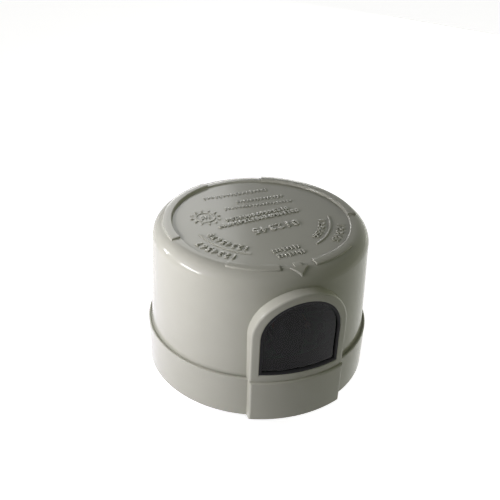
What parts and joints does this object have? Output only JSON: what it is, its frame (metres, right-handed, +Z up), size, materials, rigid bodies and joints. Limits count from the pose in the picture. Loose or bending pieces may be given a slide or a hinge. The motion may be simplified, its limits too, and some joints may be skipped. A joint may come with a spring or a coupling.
{
  "type": "photocell switch",
  "caption": "Plug-in photocell switch for street lights: round moulded housing with an arched dark window, hooked locking blades under a gasketed base, and the control circuit inside.",
  "frame": {"origin": "centre of the gasket's sealing face, where the switch meets its receptacle", "axes": "+Z up along the plug's axis to the top of the housing, the window faces -Y, the neutral blade is at the back on +Y"},
  "size_m": [0.084, 0.0864, 0.0659],
  "materials": {
    "housing_plastic": "moulded grey plastic with a soft gloss",
    "smoked_pane": "smoked clear plastic",
    "base_plastic": "moulded black plastic",
    "gasket_foam": "closed-cell foam rubber",
    "blade_brass": "stamped brass",
    "board_laminate": "green solder mask on glass-fibre laminate",
    "screw_steel": "zinc-plated steel",
    "solder": "bright solder",
    "relay_case": "black moulded plastic",
    "film_case": "yellow moulded plastic",
    "arrester_coating": "blue epoxy coating",
    "can_sleeve": "black shrink sleeve",
    "dropper_coating": "grey-blue lacquer",
    "diode_moulding": "black epoxy moulding",
    "zener_glass": "amber glass body",
    "resistor_coating": "beige lacquer with colour bands",
    "sensor_resin": "dark tinted resin",
    "stand_plastic": "black moulded plastic"
  },
  "bodies": {
    "root": {"housing": "housing_plastic", "window": "smoked_pane", "base": "base_plastic", "gasket": "gasket_foam", "neutral_blade": "blade_brass", "line_blade": "blade_brass", "load_blade": "blade_brass", "circuit_board": "board_laminate", "board_screws": "screw_steel", "solder_joints": "solder", "relay": "relay_case", "dropper_capacitor": "film_case", "surge_arrester": "arrester_coating", "smoothing_capacitor": "can_sleeve", "delay_capacitor": "can_sleeve", "dropper_resistor": "dropper_coating", "rectifier_diodes": "diode_moulding", "zener_diode": "zener_glass", "resistors": "resistor_coating", "transistor": "diode_moulding", "light_sensor": "sensor_resin", "sensor_stand": "stand_plastic"}
  },
  "joints": []
}
